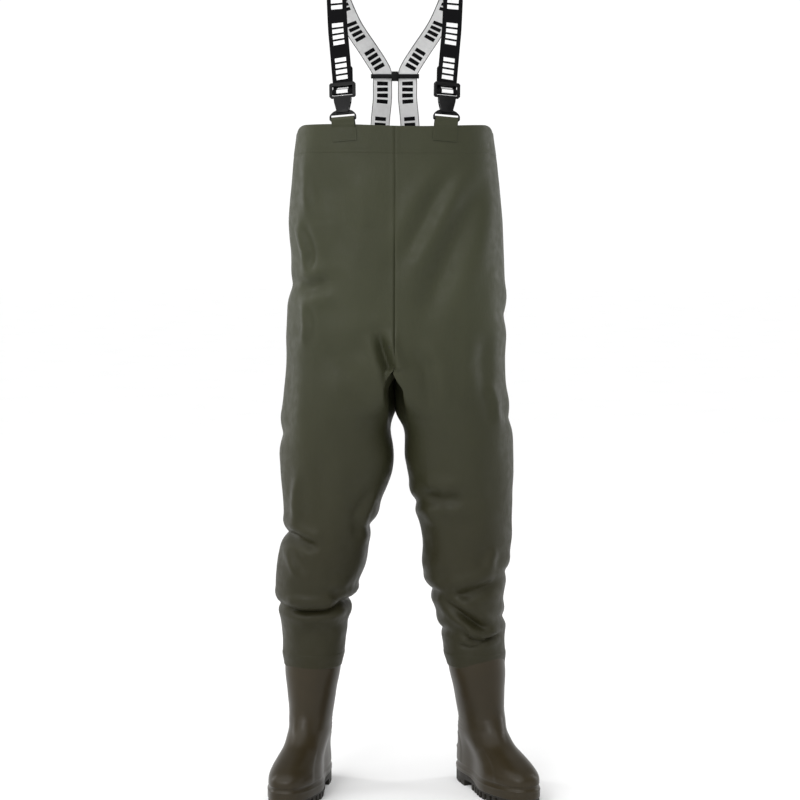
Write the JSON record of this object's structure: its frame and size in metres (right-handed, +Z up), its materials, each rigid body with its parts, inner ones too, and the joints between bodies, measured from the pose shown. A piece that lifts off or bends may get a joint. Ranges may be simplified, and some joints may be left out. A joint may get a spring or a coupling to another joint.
{
  "type": "chest waders",
  "caption": "Chest waders: a coated-fabric bib and two legs joined to moulded boots, held up by elastic braces with side-release buckles.",
  "frame": {"origin": "on the ground, under the middle of the whole part's box", "axes": "+Z up, the front of the bib and the toes towards -Y, the wearer's left side towards +X"},
  "size_m": [0.5514, 0.3332, 1.6646],
  "materials": {
    "coated_fabric": "matt olive coated fabric",
    "boot_pvc": "glossy moulded olive-brown PVC",
    "sole_pvc": "dull dark moulded PVC",
    "insole_felt": "pressed felt",
    "webbing": "black woven elastic, pale on its inner face",
    "buckle_plastic": "black moulded plastic with a soft shine"
  },
  "bodies": {
    "root": {"top_hem": "coated_fabric", "front_seam_tape": "coated_fabric", "back_seam_tape": "coated_fabric", "right_body_half": "coated_fabric", "right_front_tab": "coated_fabric", "right_back_patch": "coated_fabric", "right_buckle_socket": "buckle_plastic", "right_strap": "webbing", "left_body_half": "coated_fabric", "left_front_tab": "coated_fabric", "left_back_patch": "coated_fabric", "left_buckle_socket": "buckle_plastic", "left_strap": "webbing"},
    "right_thigh": {"right_hip_sleeve": "coated_fabric", "right_thigh_sleeve": "coated_fabric"},
    "right_shin": {"right_knee_sleeve": "coated_fabric", "right_shin_sleeve": "coated_fabric", "right_cuff_band": "coated_fabric", "right_boot_upper": "boot_pvc", "right_boot_sole": "sole_pvc", "right_insole": "insole_felt"},
    "right_plug": {"right_buckle_plug": "buckle_plastic", "right_strap_turn": "webbing"},
    "right_outer_prong": {"right_outer_prong": "buckle_plastic"},
    "right_inner_prong": {"right_inner_prong": "buckle_plastic"},
    "right_tail": {"right_strap_tail": "webbing"},
    "left_thigh": {"left_hip_sleeve": "coated_fabric", "left_thigh_sleeve": "coated_fabric"},
    "left_shin": {"left_knee_sleeve": "coated_fabric", "left_shin_sleeve": "coated_fabric", "left_cuff_band": "coated_fabric", "left_boot_upper": "boot_pvc", "left_boot_sole": "sole_pvc", "left_insole": "insole_felt"},
    "left_plug": {"left_buckle_plug": "buckle_plastic", "left_strap_turn": "webbing"},
    "left_outer_prong": {"left_outer_prong": "buckle_plastic"},
    "left_inner_prong": {"left_inner_prong": "buckle_plastic"},
    "left_tail": {"left_strap_tail": "webbing"},
    "joiner": {"strap_joiner": "buckle_plastic"}
  },
  "joints": [
    {"name": "right_hip", "type": "hinge", "parent": "root", "child": "right_thigh", "pos_m": [-0.14339, 0.0205, 0.775], "axis": [-1, 0, 0], "range_deg": [-12, 40], "deforming": ["right_hip_sleeve"]},
    {"name": "right_knee", "type": "hinge", "parent": "right_thigh", "child": "right_shin", "pos_m": [-0.16639, 0.0485, 0.5], "axis": [1, 0, 0], "range_deg": [0, 70], "deforming": ["right_knee_sleeve"]},
    {"name": "right_release", "type": "slide", "parent": "root", "child": "right_plug", "axis": [-0.02, 0.2851, 0.9583], "range_m": [0, 0.03], "deforming": ["right_strap", "right_outer_prong", "right_inner_prong"]},
    {"name": "right_outer_squeeze", "type": "hinge", "parent": "right_plug", "child": "right_outer_prong", "pos_m": [-0.13239, -0.09429, 1.42759], "axis": [-0.2093, -0.9384, 0.2748], "range_deg": [0, 8], "stiffness_Nm_per_rad": 0.4},
    {"name": "right_inner_squeeze", "type": "hinge", "parent": "right_plug", "child": "right_inner_prong", "pos_m": [-0.11186, -0.09839, 1.42923], "axis": [-0.2093, -0.9384, 0.2748], "range_deg": [-8, 0], "stiffness_Nm_per_rad": 0.4},
    {"name": "right_tail_adjust", "type": "slide", "parent": "right_plug", "child": "right_tail", "axis": [-0.02, 0.2851, 0.9583], "range_m": [0, 0.06]},
    {"name": "left_hip", "type": "hinge", "parent": "root", "child": "left_thigh", "pos_m": [0.10661, 0.0205, 0.775], "axis": [-1, 0, 0], "range_deg": [-12, 40], "deforming": ["left_hip_sleeve"]},
    {"name": "left_knee", "type": "hinge", "parent": "left_thigh", "child": "left_shin", "pos_m": [0.12961, 0.0485, 0.5], "axis": [1, 0, 0], "range_deg": [0, 70], "deforming": ["left_knee_sleeve"]},
    {"name": "left_release", "type": "slide", "parent": "root", "child": "left_plug", "axis": [0.02, 0.2851, 0.9583], "range_m": [0, 0.03], "deforming": ["left_strap", "left_outer_prong", "left_inner_prong"]},
    {"name": "left_outer_squeeze", "type": "hinge", "parent": "left_plug", "child": "left_outer_prong", "pos_m": [0.09562, -0.09429, 1.42759], "axis": [-0.2093, 0.9384, -0.2748], "range_deg": [0, 8], "stiffness_Nm_per_rad": 0.4},
    {"name": "left_inner_squeeze", "type": "hinge", "parent": "left_plug", "child": "left_inner_prong", "pos_m": [0.07509, -0.09839, 1.42923], "axis": [-0.2093, 0.9384, -0.2748], "range_deg": [-8, 0], "stiffness_Nm_per_rad": 0.4},
    {"name": "left_tail_adjust", "type": "slide", "parent": "left_plug", "child": "left_tail", "axis": [0.02, 0.2851, 0.9583], "range_m": [0, 0.06]},
    {"name": "joiner_slide", "type": "slide", "parent": "root", "child": "joiner", "axis": [0, 0, 1], "range_m": [-0.04, 0]}
  ],
  "couplings": [
    {"joint": "right_inner_squeeze", "follows": "right_outer_squeeze", "ratio": -1},
    {"joint": "left_inner_squeeze", "follows": "left_outer_squeeze", "ratio": -1}
  ]
}
